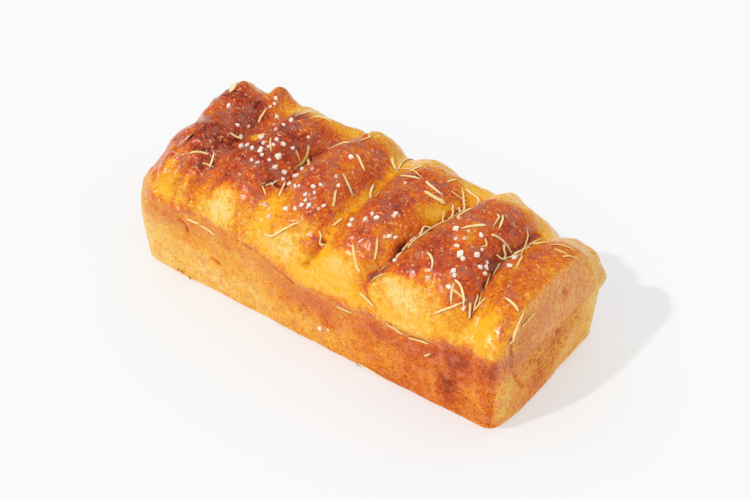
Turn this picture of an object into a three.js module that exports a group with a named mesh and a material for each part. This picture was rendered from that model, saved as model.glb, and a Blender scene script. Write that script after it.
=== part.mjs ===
// A focaccia baked as one loaf in a slim tin: a straight-sided lower half with a puffed
// top of six lobes across it, strewn with dried rosemary needles and coarse salt.
// Millimetres, +Z up, the length along X, resting on z = 0 with its middle at the origin.
import * as THREE from 'three';
import { ConvexGeometry } from 'three/addons/geometries/ConvexGeometry.js';
import { mergeVertices } from 'three/addons/utils/BufferGeometryUtils.js';

// Lower half, as wide as the tin it was baked in.
const BASE_HALF_LENGTH = 94.2;
const BASE_HALF_WIDTH = 39;
const RIM_HEIGHT = 38; // the tin's walls lean outwards up to here
const END_FLARE = 0.08; // outward lean of the two ends, mm per mm of height
const SIDE_FLARE = 0.045; // outward lean of the two long sides
const END_TUCK = 0.15; // how fast the dough draws in above the rim at the ends
const CORNER_RADIUS = 8.5;
const FOOT_RADIUS = 3.5;

// Upper half: one dome of dough, and a lobe between each groove and the next.
const GROOVE_SPAN = 30; // the grooves are given at y = -30, 0 and 30
const GROOVES = [
  [-96, -96, -96],
  [-60, -60, -62],
  [-27, -31, -23],
  [3.5, 4, 0],
  [33, 38, 43],
  [76, 72, 74.5],
  [98, 99, 98],
];
const LOBES = [
  { top: 62.5, depth: 44.5, fullness: 3 },
  { top: 65.5, depth: 44, fullness: 3 },
  { top: 66.5, depth: 43.2, fullness: 3.1 },
  { top: 65.5, depth: 43, fullness: 3.3 },
  { top: 66, depth: 44.2, fullness: 3.5 },
  { top: 57.5, depth: 44.8, fullness: 2.8 },
];
const LOBE_OVERLAP = 1.14; // each lobe is this much wider than the room between its grooves
const LOBE_ROOT = 15; // height at which the lobes' sides stand upright
const DOME_TOPS = [58, 58.5, 55]; // height of the dome at x = -80, 0 and 80
const DOME_SPAN = 80;
const DOME_HALF_LENGTH = 108;
const DOME_HALF_WIDTH = 42.8;
const DOME_ROOT = 8;
const TOP_OFFSET = 1.5; // the puffed top sits this far towards the back
const LOBE_BLEND = 2.6;
const RIM_BLEND = 2.5;

// Swellings and dents of the top: [x, y, radius, rise].
const SWELLINGS = [
  [-77.5, 30, 4.5, -4], [-84, 24, 7, 4.5], [-86, 12, 8, 2], [-76, -12, 8, 2.5],
  [-60, 0, 5, -1.5], [-68, -30, 7, -3], [-66, 9, 6, -1.5], [-47, 10, 9, 1],
  [-14, 32, 8, 3.5], [42, 34, 8, 3], [90, 36, 9, -5], [-93, -26, 9, -5], [-91, -4, 8, -4],
  [-69, 33.5, 7, 8], [-56, 35, 6, 3.5], [-40, 37, 7, -2.5], [-26, 35, 6, 3.5],
  [12, 34, 8, 2.5], [64, 37, 8, -4], [29, 35, 5, -1.5], [-57, -16, 7, 2], [51, 36, 7, 3.5],
  [82, 38, 5, 2.5], [75, 38, 4, -2], [-97, -34, 6, -5],
];
const SWELLING_FROM = 35; // below this height the swellings have no effect,
const SWELLING_FULL = 50; // and above this one they have all of it

const LOAF_STEP = 5; // size of the loaf's facets
const GAP = 0.35; // clear space under and between the toppings
const SEARCH_STEPS = 24; // halvings that find the bread's surface along a line

// Dried rosemary needles: [x, y, length, heading in degrees, bend to the left of the heading].
const NEEDLE_WIDTH = 1.5;
const NEEDLE_THICKNESS = 0.9;
const NEEDLE_RINGS = 7;
const NEEDLE_SIDES = 6;
const STEPS_PER_RING = 4; // how closely the ground under a needle is felt
const NEEDLE_SLACK = 0.25; // extra room for the facets between those steps
const NEEDLES = [
  [-17, -32, 22, 18, -3], [-71, -23, 11, 37, 1.5], [-65, -21, 7, 108, 0], [-65, -5, 7, 27, 0],
  [-66, 15, 12, 104, 0.5], [-39, 21, 13, 34, 3.5], [-22, 12, 14, 17, 0], [-15, 20, 12, 76, -1],
  [-6, 6, 9, -23, 0], [-3, -7, 12, -24, 0], [-3, -16, 9, 113, 0], [5, 0, 15, 118, 1],
  [-34, 1, 15, -78, 2], [-28, -1, 14, 126, 0], [-28, -19, 13, 113, 0], [3, -22, 7, 72, 0],
  [21, -32, 12, -36, -1.5], [26, -27, 9, -63, 0.5], [1, 21, 10, -41, -1], [16, 11, 12, 8, 0],
  [13, 19, 9, 72, 0], [28, 12, 12, -6, -2], [31, 7, 10, 21, 0], [38, 16, 21, -56, 1],
  [48, 5, 13, 82, 1], [37, -12, 15, 80, 1], [50, -25, 10, -40, 2], [56, -2, 13, 48, 0.5],
  [62, 8, 10, -68, 1], [67, 2, 11, 36, 0], [73, 10, 16, 84, 0.5], [67, -29, 11, -30, 2.5],
  [86, 18, 12, 28, 2], [87, -21, 10, -13, 0.5],
];

// Coarse salt crystals: [x, y, size across].
const CRYSTAL_CORNERS = 12;
const GOLDEN_ANGLE = 2.4; // radians from one corner of a crystal to the next
const CRYSTALS = [
  [-78, 6, 3.4], [-68, 26, 2.6], [-61, 18, 2.4], [-48, 12, 3.2], [-51, -4, 4.2],
  [-59, -9, 3], [-54, -10, 2.8], [-45, -12, 3], [-40, -3, 2.8], [-45, -18, 2.6],
  [-38, -9, 4], [-36, -14, 2.8], [-25, -13, 3], [-20, -20, 2.8], [-12, -18, 2.8],
  [-9, -25, 2.6], [-14, -28, 2.6], [16, -20, 2.8], [11, -24, 2.6], [28, -21, 3],
  [61, -4, 2.8], [57, -15, 3], [65, -13, 3.2], [69, -12, 2.8], [62, -24, 2.6],
];

const BREAD = new THREE.MeshStandardMaterial({ color: 0xb9672a, roughness: 0.45, metalness: 0 });
const ROSEMARY = new THREE.MeshStandardMaterial({ color: 0xc9a35c, roughness: 0.75, metalness: 0 });
const SALT = new THREE.MeshStandardMaterial({ color: 0xf4efe8, roughness: 0.4, metalness: 0 });

// The value at t of the parabola through three values at t = -1, 0 and 1.
function throughThree(values, t) {
  const [before, middle, after] = values;
  return middle + ((after - before) / 2) * t + ((after + before) / 2 - middle) * t * t;
}

// The smaller of two distances, with the crease between them rounded off.
function smoothMin(a, b, blend) {
  const share = THREE.MathUtils.clamp(0.5 + (0.5 * (b - a)) / blend, 0, 1);
  return b * (1 - share) + a * share - blend * share * (1 - share);
}

function smoothMax(a, b, blend) {
  return -smoothMin(-a, -b, blend);
}

// How far a point is outside a rounded corner between two limits.
function roundedCorner(a, b, radius) {
  const outside = Math.hypot(Math.max(a + radius, 0), Math.max(b + radius, 0));
  return outside + Math.min(Math.max(a + radius, b + radius), 0) - radius;
}

function outsideTin(x, y, z) {
  const lean = Math.min(z, RIM_HEIGHT);
  const tuck = Math.max(z - RIM_HEIGHT, 0) * END_TUCK;
  const endLimit = Math.abs(x) - (BASE_HALF_LENGTH + lean * END_FLARE - tuck);
  const sideLimit = Math.abs(y) - (BASE_HALF_WIDTH + lean * SIDE_FLARE);
  return roundedCorner(roundedCorner(endLimit, sideLimit, CORNER_RADIUS), -z, FOOT_RADIUS);
}

// A domed cushion: across, along and up are each 0 at its middle and 1 at its edge.
function outsideCushion(across, along, up, fullness) {
  const { side, end, crown } = fullness;
  const sum = Math.abs(across) ** side + Math.abs(along) ** end + Math.max(up, 0) ** crown;
  return (sum ** 0.4 - 1) * 20;
}

function outsideLobe(index, x, y, z) {
  const { top, depth, fullness } = LOBES[index];
  const t = THREE.MathUtils.clamp(y / GROOVE_SPAN, -1.2, 1.2);
  const left = throughThree(GROOVES[index], t);
  const right = throughThree(GROOVES[index + 1], t);
  const across = (2 * x - left - right) / ((right - left) * LOBE_OVERLAP);
  const along = (y - TOP_OFFSET) / depth;
  const up = (z - LOBE_ROOT) / (top - LOBE_ROOT);
  return outsideCushion(across, along, up, { side: fullness, end: 3.2, crown: 2.3 });
}

function outsideDome(x, y, z) {
  const top = throughThree(DOME_TOPS, x / DOME_SPAN);
  const along = (y - TOP_OFFSET) / DOME_HALF_WIDTH;
  const up = (z - DOME_ROOT) / (top - DOME_ROOT);
  return outsideCushion(x / DOME_HALF_LENGTH, along, up, { side: 8, end: 4, crown: 2.8 });
}

// How far the top is raised at a point by its swellings, or lowered by its dents.
function swellingAt(x, y, z) {
  let rise = 0;
  for (const [centreX, centreY, radius, amount] of SWELLINGS) {
    rise += amount * Math.exp(-((x - centreX) ** 2 + (y - centreY) ** 2) / radius ** 2);
  }
  return rise * THREE.MathUtils.smoothstep(z, SWELLING_FROM, SWELLING_FULL);
}

// Negative inside the bread and positive outside it.
function outsideBread(x, y, z) {
  const level = z - swellingAt(x, y, z);
  let dough = outsideDome(x, y, level);
  for (let index = 0; index < LOBES.length; index += 1) {
    dough = smoothMin(dough, outsideLobe(index, x, y, level), LOBE_BLEND);
  }
  return smoothMax(outsideTin(x, y, z), dough, RIM_BLEND);
}

// A box wrapped round the loaf, each corner of its grid then drawn in to the bread.
function makeLoaf() {
  const half = new THREE.Vector3(97, 42, 34);
  const steps = half.clone().multiplyScalar(2 / LOAF_STEP).round();
  const box = new THREE.BoxGeometry(2 * half.x, 2 * half.y, 2 * half.z, steps.x, steps.y, steps.z);
  box.deleteAttribute('normal');
  box.deleteAttribute('uv');
  const loaf = mergeVertices(box.translate(0, 0, half.z));
  const heart = new THREE.Box3(new THREE.Vector3(-66, -8, 24), new THREE.Vector3(66, 8, 34));
  const place = loaf.attributes.position;
  for (let index = 0; index < place.count; index += 1) {
    const corner = new THREE.Vector3().fromBufferAttribute(place, index);
    const inner = heart.clampPoint(corner, new THREE.Vector3());
    const outer = corner.clone().sub(inner).setLength(80).add(inner);
    for (let halving = 0; halving < SEARCH_STEPS; halving += 1) {
      const middle = inner.clone().add(outer).multiplyScalar(0.5);
      if (outsideBread(middle.x, middle.y, middle.z) > 0) outer.copy(middle);
      else inner.copy(middle);
    }
    place.setXYZ(index, inner.x, inner.y, inner.z);
  }
  loaf.computeVertexNormals();
  return loaf;
}

const focaccia = new THREE.Group();
focaccia.name = 'focaccia';
const downwards = new THREE.Raycaster();

function addPiece(name, geometry, material) {
  const piece = new THREE.Mesh(geometry, material);
  piece.name = name;
  focaccia.add(piece);
  piece.updateMatrixWorld();
}

// Height of the highest thing already in place at (x, y).
function supportAt(x, y) {
  downwards.set(new THREE.Vector3(x, y, 100), new THREE.Vector3(0, 0, -1));
  const hits = downwards.intersectObjects(focaccia.children);
  return hits.length > 0 ? hits[0].point.z : 0;
}

// Heights of a stiff thing laid over the given heights: it bridges every hollow.
function bridge(heights) {
  return heights.map((height, index) => {
    let best = height;
    for (let before = 0; before < index; before += 1) {
      for (let after = index + 1; after < heights.length; after += 1) {
        const share = (index - before) / (after - before);
        best = Math.max(best, heights[before] * (1 - share) + heights[after] * share);
      }
    }
    return best;
  });
}

// A flat six-sided needle, pointed at both ends, draped over what lies below it.
function makeNeedle([x, y, length, headingDegrees, bend]) {
  const heading = THREE.MathUtils.degToRad(headingDegrees);
  const ahead = new THREE.Vector3(Math.cos(heading), Math.sin(heading), 0);
  const left = new THREE.Vector3(-ahead.y, ahead.x, 0);
  const stations = [];
  const lastStep = STEPS_PER_RING * (NEEDLE_RINGS + 1);
  for (let step = 0; step <= lastStep; step += 1) {
    const t = (2 * step) / lastStep - 1;
    const middle = new THREE.Vector3(x, y, 0).addScaledVector(ahead, (t * length) / 2);
    middle.addScaledVector(left, bend * (1 - t * t));
    for (const side of [-0.6, 0, 0.6]) {
      const under = middle.clone().addScaledVector(left, side * NEEDLE_WIDTH);
      middle.z = Math.max(middle.z, supportAt(under.x, under.y));
    }
    stations.push(middle);
  }
  const heights = bridge(stations.map((station) => station.z));
  const lift = GAP + NEEDLE_THICKNESS / 2 + NEEDLE_SLACK;
  stations.forEach((station, index) => station.setZ(heights[index] + lift));

  const points = [stations[0]];
  for (let ring = 1; ring <= NEEDLE_RINGS; ring += 1) {
    const taper = Math.min(1, 0.55 + Math.min(ring, NEEDLE_RINGS + 1 - ring) * 0.25);
    for (let side = 0; side < NEEDLE_SIDES; side += 1) {
      const angle = (side * 2 * Math.PI) / NEEDLE_SIDES;
      const point = stations[ring * STEPS_PER_RING].clone();
      point.addScaledVector(left, (Math.cos(angle) * NEEDLE_WIDTH * taper) / 2);
      point.z += (Math.sin(angle) * NEEDLE_THICKNESS * taper) / 2;
      points.push(point);
    }
  }
  points.push(stations[lastStep]);

  const faces = [];
  const last = points.length - 1;
  for (let side = 0; side < NEEDLE_SIDES; side += 1) {
    const next = (side + 1) % NEEDLE_SIDES;
    faces.push(0, 1 + next, 1 + side);
    for (let ring = 0; ring < NEEDLE_RINGS - 1; ring += 1) {
      const here = 1 + ring * NEEDLE_SIDES;
      const beyond = here + NEEDLE_SIDES;
      faces.push(here + side, here + next, beyond + side);
      faces.push(here + next, beyond + next, beyond + side);
    }
    faces.push(last, last - NEEDLE_SIDES + side, last - NEEDLE_SIDES + next);
  }
  const needle = new THREE.BufferGeometry().setFromPoints(points);
  needle.setIndex(faces);
  needle.computeVertexNormals();
  return needle;
}

// Repeatable scatter between -1 and 1.
function scatter(seed) {
  const value = Math.sin(seed * 12.9898) * 43758.5453;
  return 2 * (value - Math.floor(value)) - 1;
}

// An irregular many-faced crystal resting on what lies below it.
function makeCrystal([x, y, size], index) {
  const corners = [];
  for (let corner = 0; corner < CRYSTAL_CORNERS; corner += 1) {
    const level = (2 * corner + 1) / CRYSTAL_CORNERS - 1;
    const turn = corner * GOLDEN_ANGLE + scatter(index * 31 + corner) * 0.5;
    const reach = 1 + scatter(index * 57 + corner) * 0.2;
    const across = Math.sqrt(1 - level * level) * reach;
    const spot = new THREE.Vector3(across * Math.cos(turn), across * Math.sin(turn) * 0.8, level * 0.75);
    corners.push(spot.multiplyScalar(size / 2));
  }
  const crystal = new ConvexGeometry(corners);
  crystal.deleteAttribute('normal');
  const merged = mergeVertices(crystal).rotateZ(index * 1.3);
  merged.computeBoundingBox();
  let support = 0;
  for (let turn = 0; turn < 8; turn += 1) {
    for (const reach of [0, 0.35, 0.65]) {
      const angle = (turn * Math.PI) / 4;
      const under = supportAt(x + Math.cos(angle) * size * reach, y + Math.sin(angle) * size * reach);
      support = Math.max(support, under);
    }
  }
  merged.translate(x, y, support + GAP - merged.boundingBox.min.z);
  merged.computeVertexNormals();
  return merged;
}

addPiece('loaf', makeLoaf(), BREAD);
NEEDLES.forEach((needle, index) => {
  addPiece(`rosemary_needle_${String(index + 1).padStart(2, '0')}`, makeNeedle(needle), ROSEMARY);
});
CRYSTALS.forEach((crystal, index) => {
  addPiece(`salt_crystal_${String(index + 1).padStart(2, '0')}`, makeCrystal(crystal, index), SALT);
});

export default focaccia;
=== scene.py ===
import math
import random
from itertools import product

import bmesh
import bpy
import numpy as np
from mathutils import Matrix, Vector, noise
from mathutils.bvhtree import BVHTree


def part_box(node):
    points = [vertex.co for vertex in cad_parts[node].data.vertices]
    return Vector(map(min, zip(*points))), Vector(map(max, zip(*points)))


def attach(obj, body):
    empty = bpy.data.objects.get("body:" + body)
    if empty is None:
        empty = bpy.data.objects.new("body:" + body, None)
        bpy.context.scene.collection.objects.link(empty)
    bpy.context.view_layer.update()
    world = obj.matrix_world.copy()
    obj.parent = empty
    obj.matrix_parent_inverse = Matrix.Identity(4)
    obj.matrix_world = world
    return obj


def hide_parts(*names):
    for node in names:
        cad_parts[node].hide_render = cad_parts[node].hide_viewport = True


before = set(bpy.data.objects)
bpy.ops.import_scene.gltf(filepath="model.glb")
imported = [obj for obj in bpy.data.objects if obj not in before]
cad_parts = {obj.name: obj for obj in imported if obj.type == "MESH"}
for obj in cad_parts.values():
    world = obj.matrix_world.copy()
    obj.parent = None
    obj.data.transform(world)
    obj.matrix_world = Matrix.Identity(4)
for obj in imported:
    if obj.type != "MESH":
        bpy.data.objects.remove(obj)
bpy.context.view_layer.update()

bpy.context.scene.view_settings.view_transform = "Standard"


# ---------------------------------------------------------------- camera and light
# The loaf is seen from its front right corner, well above the table, through a long lens.
# One hard white lamp stands front left; the white room around fills the shadows.
CAMERA_PLACE = (0.3471, -0.4628, 0.5168)
CAMERA_AZIMUTH = math.radians(36.4)
CAMERA_ELEVATION = math.radians(40.39)
LENS_LENGTH = 85
FILM_WIDTH = 36
NEAREST_SEEN = 0.01
LAMP_DIRECTION = (-0.287, -0.646, 0.707)
LAMP_STRENGTH = 1.15
LAMP_BREADTH = math.radians(2.5)
# The room is white all round, but dimmer in reflections, so that the glaze keeps its browns.
ROOM_BRIGHTNESS = 0.81
ROOM_IN_GLOSS = 0.2

camera = bpy.data.objects.new("camera", bpy.data.cameras.new("camera"))
bpy.context.collection.objects.link(camera)
camera.data.lens = LENS_LENGTH
camera.data.sensor_width = FILM_WIDTH
camera.data.clip_start = NEAREST_SEEN
camera.location = CAMERA_PLACE
towards_camera = Vector((
    math.sin(CAMERA_AZIMUTH) * math.cos(CAMERA_ELEVATION),
    -math.cos(CAMERA_AZIMUTH) * math.cos(CAMERA_ELEVATION),
    math.sin(CAMERA_ELEVATION),
))
camera.rotation_mode = "QUATERNION"
camera.rotation_quaternion = (-towards_camera).to_track_quat("-Z", "Y")
bpy.context.scene.camera = camera

lamp = bpy.data.objects.new("lamp", bpy.data.lights.new("lamp", "SUN"))
bpy.context.collection.objects.link(lamp)
lamp.data.energy = LAMP_STRENGTH
lamp.data.angle = LAMP_BREADTH
lamp.rotation_mode = "QUATERNION"
lamp.rotation_quaternion = (-Vector(LAMP_DIRECTION)).to_track_quat("-Z", "Y")

# The loaf's sizes and the grain of its finishes are given in millimetres.
MM = 0.001


class Tone:
    """One value, colour or vector in a finish or a light; sums on Tones become Math nodes."""

    def __init__(self, tree, socket=None):
        self.tree = tree
        self.socket = socket

    def node(self, kind, settings, inputs, output=0):
        """A new node: its settings first, then the values or links of its inputs."""
        made = self.tree.nodes.new("ShaderNode" + kind)
        for name, value in settings.items():
            if name == "stops":
                ramp = made.color_ramp
                while len(ramp.elements) < len(value):
                    ramp.elements.new(1)
                for element, (position, shade) in zip(ramp.elements, value):
                    element.position = position
                    element.color = shade
            else:
                setattr(made, name, value)
        for name, value in inputs.items():
            if isinstance(value, Tone):
                self.tree.links.new(value.socket, made.inputs[name])
            else:
                made.inputs[name].default_value = value
        return Tone(self.tree, made.outputs[output])

    def reckon(self, operation, first, second):
        return self.node("Math", {"operation": operation}, {0: first, 1: second})

    def __add__(self, other):
        return self.reckon("ADD", self, other)

    def __radd__(self, other):
        return self.reckon("ADD", other, self)

    def __sub__(self, other):
        return self.reckon("SUBTRACT", self, other)

    def __rsub__(self, other):
        return self.reckon("SUBTRACT", other, self)

    def __mul__(self, other):
        return self.reckon("MULTIPLY", self, other)

    def __rmul__(self, other):
        return self.reckon("MULTIPLY", other, self)

    def between(self, low, high):
        """0 below low, 1 above high, with a soft step between them."""
        settings = {"interpolation_type": "SMOOTHSTEP"}
        return self.node("MapRange", settings, {"Value": self, 1: low, 2: high})

    def ramp(self, stops):
        """The colour that a row of stops gives for this value."""
        return self.node("ValToRGB", {"stops": stops}, {"Fac": self})

    def towards(self, other, share):
        """This colour mixed with another one."""
        return self.node("Mix", {"data_type": "RGBA"}, {0: share, 6: self, 7: other}, 2)

    def grain(self, size_mm, detail=2.0, roughness=0.5, stretch=(1, 1, 1)):
        """Noise of about the given size, from 0 to 1, at this place."""
        place = self.node("VectorMath", {"operation": "MULTIPLY"}, {0: self, 1: stretch})
        scale = 1 / (size_mm * MM)
        inputs = {"Vector": place, "Scale": scale, "Detail": detail, "Roughness": roughness}
        return self.node("TexNoise", {}, inputs)

    def painted(self, name):
        """The value that the mesh holds under this name."""
        return self.node("Attribute", {"attribute_name": name}, {}, "Fac")

    def feed(self, shader, socket):
        """Link this to a shader's socket."""
        self.tree.links.new(self.socket, shader.inputs[socket])


room = bpy.data.worlds.new("room")
bpy.context.scene.world = room
room.use_nodes = True
room_light = room.node_tree.nodes["Background"]
room_light.inputs["Color"].default_value = (1, 1, 1, 1)
in_gloss = Tone(room.node_tree).node("LightPath", {}, {}, "Is Glossy Ray")
strength = in_gloss * (ROOM_IN_GLOSS - ROOM_BRIGHTNESS) + ROOM_BRIGHTNESS
strength.feed(room_light, "Strength")


# ---------------------------------------------------------------- table top
# A plain white table, far larger than the loaf, lit up a little from within so that the
# loaf colours it hardly at all.
TABLE_HALF = 6.0
TABLE_DROP = 0.0002


def new_finish(name, **constants):
    """A material with its constants set, and its shader."""
    finish = bpy.data.materials.new(name)
    finish.use_nodes = True
    shader = finish.node_tree.nodes["Principled BSDF"]
    for socket, value in constants.items():
        shader.inputs[socket.replace("_", " ")].default_value = value
    return finish, shader


table_mesh = bpy.data.meshes.new("table")
corner_signs = [(-1, -1), (1, -1), (1, 1), (-1, 1)]
table_corners = [(x * TABLE_HALF, y * TABLE_HALF, -TABLE_DROP) for x, y in corner_signs]
table_mesh.from_pydata(table_corners, [], [(0, 1, 2, 3)])
table = bpy.data.objects.new("table", table_mesh)
bpy.context.collection.objects.link(table)
table_finish, _ = new_finish(
    "table_white", Base_Color=(0.46, 0.475, 0.48, 1), Roughness=1.0, Specular_IOR_Level=0.0,
    Emission_Color=(1, 1, 1, 1), Emission_Strength=0.46,
)
table_mesh.materials.append(table_finish)


# ---------------------------------------------------------------- loaf
# One piece of baked dough. The lower half took the shape of a slim tin; above the rim the
# dough rose into a dome of six lobes, pressed apart by grooves. It was glazed before baking.
loaf_low, loaf_high = [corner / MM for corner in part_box("loaf")]
# The tin's print: half its length and width at the base, and how far its walls lean out on
# the way up to the rim. Above the rim the ends tuck in again.
BASE_HALF_LENGTH = loaf_high.x - 2.9
BASE_HALF_WIDTH = loaf_high.y - 1.4
RIM_HEIGHT = 38
END_FLARE = 0.08
SIDE_FLARE = 0.045
END_TUCK = 0.15
CORNER_RADIUS = 8.5
FOOT_RADIUS = 3.5
# Where each groove is along the loaf: at this span in front of the middle, at the middle, and
# as far behind it. The first and last rows are the loaf's two ends.
GROOVE_SPAN = 30
GROOVES = [
    (-96, -96, -96), (-60, -60, -62), (-27, -31, -23), (3.5, 4, 0), (33, 38, 43), (76, 72, 74.5),
    (98, 99, 98),
]
# Each lobe's height, half its depth from front to back, and how square it is across.
LOBES = [
    (62.5, 44.5, 3.0), (65.5, 44, 3.0), (66.5, 43.2, 3.1), (65.5, 43, 3.3), (66, 44.2, 3.5),
    (57.5, 44.8, 2.8),
]
# A lobe is a cushion of dough that reaches a little past its grooves, where it blends into
# the next one, and has its root low inside the bread. The squareness is along and up.
LOBE_OVERLAP = 1.14
LOBE_ROOT = 15
LOBE_SQUARENESS = (3.2, 2.3)
LOBE_BLEND = 2.6
# The dome of dough under the lobes fills the grooves. Its tops are at the left, the middle
# and the right, a span apart, and its squareness is across, along and up.
DOME_TOPS = (58, 58.5, 55)
DOME_SPAN = 80
DOME_HALF_LENGTH = 108
DOME_HALF_WIDTH = 42.8
DOME_ROOT = 8
DOME_SQUARENESS = (8, 4, 2.8)
TIN_BLEND = 2.5
TOP_OFFSET = 1.5
# The heights between which the swellings fade in.
SWELLING_FADE = (35, 50)
# What turns a cushion's measure into roughly the millimetres from its skin.
CUSHION_POWER = 0.4
CUSHION_REACH = 20
# Swellings and dents of the top: x, y, radius, rise.
SWELLINGS = [
    (-77.5, 30, 4.5, -4), (-84, 24, 7, 4.5), (-86, 12, 8, 2.0), (-76, -12, 8, 2.5), (-60, 0, 5, -1.5),
    (-68, -30, 7, -3), (-66, 9, 6, -1.5), (-47, 10, 9, 1.0), (-14, 32, 8, 3.5), (42, 34, 8, 3),
    (90, 36, 9, -5), (-93, -26, 9, -5), (-91, -4, 8, -4), (-69, 33.5, 7, 8), (-56, 35, 6, 3.5),
    (-40, 37, 7, -2.5), (-26, 35, 6, 3.5), (12, 34, 8, 2.5), (64, 37, 8, -4), (29, 35, 5, -1.5),
    (-57, -16, 7, 2.0), (51, 36, 7, 3.5), (82, 38, 5, 2.5), (75, 38, 4, -2), (-97, -34, 6, -5),
]
GRID_STEP = 0.88


def through_three(values, t):
    """A smooth curve through three values, at t = -1, 0 and 1."""
    before, middle, after = values
    return middle + (after - before) / 2 * t + ((after + before) / 2 - middle) * t * t


def soft_step(value, low, high):
    """0 below low, 1 above high, and smooth between them."""
    t = np.clip((value - low) / (high - low), 0, 1)
    return t * t * (3 - 2 * t)


def smooth_min(a, b, blend):
    """The smaller of two values, blended where they are nearly equal."""
    share = np.clip(0.5 + 0.5 * (b - a) / blend, 0, 1)
    return b * (1 - share) + a * share - blend * share * (1 - share)


def rounded_corner(a, b, radius):
    """How far outside a rounded corner a place is, from how far it is outside each side."""
    outside = np.hypot(np.maximum(a + radius, 0), np.maximum(b + radius, 0))
    return outside + np.minimum(np.maximum(a + radius, b + radius), 0) - radius


def cushion(across, along, up, side, end, crown):
    """Below zero inside a cushion of dough; the last three say how square it is each way."""
    total = np.abs(across) ** side + np.abs(along) ** end + np.maximum(up, 0) ** crown
    return (total ** CUSHION_POWER - 1) * CUSHION_REACH


def across_lobe(index, x, y):
    """0 on a lobe's ridge and 1 in the grooves beside it."""
    t = np.clip(y / GROOVE_SPAN, -1.2, 1.2)
    left = through_three(GROOVES[index], t)
    right = through_three(GROOVES[index + 1], t)
    return (2 * x - left - right) / (right - left)


def outside_bread(place):
    """Below zero inside the bread and above zero outside it."""
    x, y, z = place.T
    lean = np.minimum(z, RIM_HEIGHT)
    tuck = np.maximum(z - RIM_HEIGHT, 0) * END_TUCK
    ends = np.abs(x) - (BASE_HALF_LENGTH + lean * END_FLARE - tuck)
    sides = np.abs(y) - (BASE_HALF_WIDTH + lean * SIDE_FLARE)
    tin = rounded_corner(rounded_corner(ends, sides, CORNER_RADIUS), -z, FOOT_RADIUS)
    rise = sum(a * np.exp(-((x - cx) ** 2 + (y - cy) ** 2) / r ** 2) for cx, cy, r, a in SWELLINGS)
    level = z - rise * soft_step(z, *SWELLING_FADE)
    top = through_three(DOME_TOPS, x / DOME_SPAN)
    along = (y - TOP_OFFSET) / DOME_HALF_WIDTH
    up = (level - DOME_ROOT) / (top - DOME_ROOT)
    dough = cushion(x / DOME_HALF_LENGTH, along, up, *DOME_SQUARENESS)
    for index, (height, half_depth, squareness) in enumerate(LOBES):
        across = across_lobe(index, x, y) / LOBE_OVERLAP
        along = (y - TOP_OFFSET) / half_depth
        up = (level - LOBE_ROOT) / (height - LOBE_ROOT)
        lobe = cushion(across, along, up, squareness, *LOBE_SQUARENESS)
        dough = smooth_min(dough, lobe, LOBE_BLEND)
    return -smooth_min(-tin, -dough, TIN_BLEND)


def box_grid(half_size, step):
    """A box from the table up, its six sides divided into squares that share their corners."""
    counts = [max(1, round(2 * half / step)) for half in half_size]
    found = {}
    places = []
    squares = []

    def corner(cell):
        if cell not in found:
            found[cell] = len(places)
            places.append([(2 * c / n - 1) * h for c, n, h in zip(cell, counts, half_size)])
        return found[cell]

    for axis in range(3):
        u, v = (axis + 1) % 3, (axis + 2) % 3
        for side in (0, counts[axis]):
            for i in range(counts[u]):
                for j in range(counts[v]):
                    square = []
                    for du, dv in [(0, 0), (1, 0), (1, 1), (0, 1)]:
                        cell = [0, 0, 0]
                        cell[axis], cell[u], cell[v] = side, i + du, j + dv
                        square.append(corner(tuple(cell)))
                    squares.append(square if side else square[::-1])
    return np.array(places) + [0, 0, half_size[2]], squares


# The skin is found along lines that run out from a bar inside the loaf, its heart. Each
# halving brings the two ends of the stretch that holds the skin closer together.
GRID_HALF_SIZE = (97, 42, 34)
HEART_LOW = (-66, -8, 24)
HEART_HIGH = (66, 8, 34)
SEARCH_LENGTH = 80
HALVINGS = 20
SLOPE_STEP = 0.6

skin, skin_squares = box_grid(GRID_HALF_SIZE, GRID_STEP)
heart = np.clip(skin, HEART_LOW, HEART_HIGH)
outer = heart + (skin - heart) / np.linalg.norm(skin - heart, axis=1)[:, None] * SEARCH_LENGTH
inner = heart
for halving in range(HALVINGS):
    middle = (inner + outer) / 2
    is_out = (outside_bread(middle) > 0)[:, None]
    outer = np.where(is_out, middle, outer)
    inner = np.where(is_out, inner, middle)
skin = inner
steps = np.eye(3) * SLOPE_STEP
slopes = [outside_bread(skin + step) - outside_bread(skin - step) for step in steps]
facing = np.stack(slopes, axis=1)
facing /= np.linalg.norm(facing, axis=1)[:, None]

# The rim's height along the front: x, height.
RIM_LINE = [
    (-97, 36), (-80, 37), (-60, 39), (-45, 40), (-35, 38), (-24, 36), (-12, 32), (0, 30), (22, 30.5),
    (34, 33), (50, 34), (64, 36), (80, 37.5), (97, 40),
]


def speckle(places, size, seed):
    """Smooth noise between about -1 and 1, with lumps of the given size."""
    shift = Vector((seed * 7.31, seed * 3.17, seed * 5.73))
    return np.array([noise.noise(Vector(place) / size + shift) for place in places])


def away_from_line(u, v, line):
    """How far each point is from a line through several points."""
    best = np.full(len(u), 1e9)
    for (u0, v0), (u1, v1) in zip(line, line[1:]):
        du, dv = u1 - u0, v1 - v0
        share = np.clip(((u - u0) * du + (v - v0) * dv) / (du * du + dv * dv), 0, 1)
        best = np.minimum(best, np.hypot(u - u0 - share * du, v - v0 - share * dv))
    return best


def patches(u, v, spots):
    """Rounded patches, each given by its middle, its two radii and its amount."""
    total = np.zeros(len(u))
    for centre_u, centre_v, radius_u, radius_v, amount in spots:
        away = ((u - centre_u) / radius_u) ** 2 + ((v - centre_v) / radius_v) ** 2
        total += amount * np.exp(-away)
    return total


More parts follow.
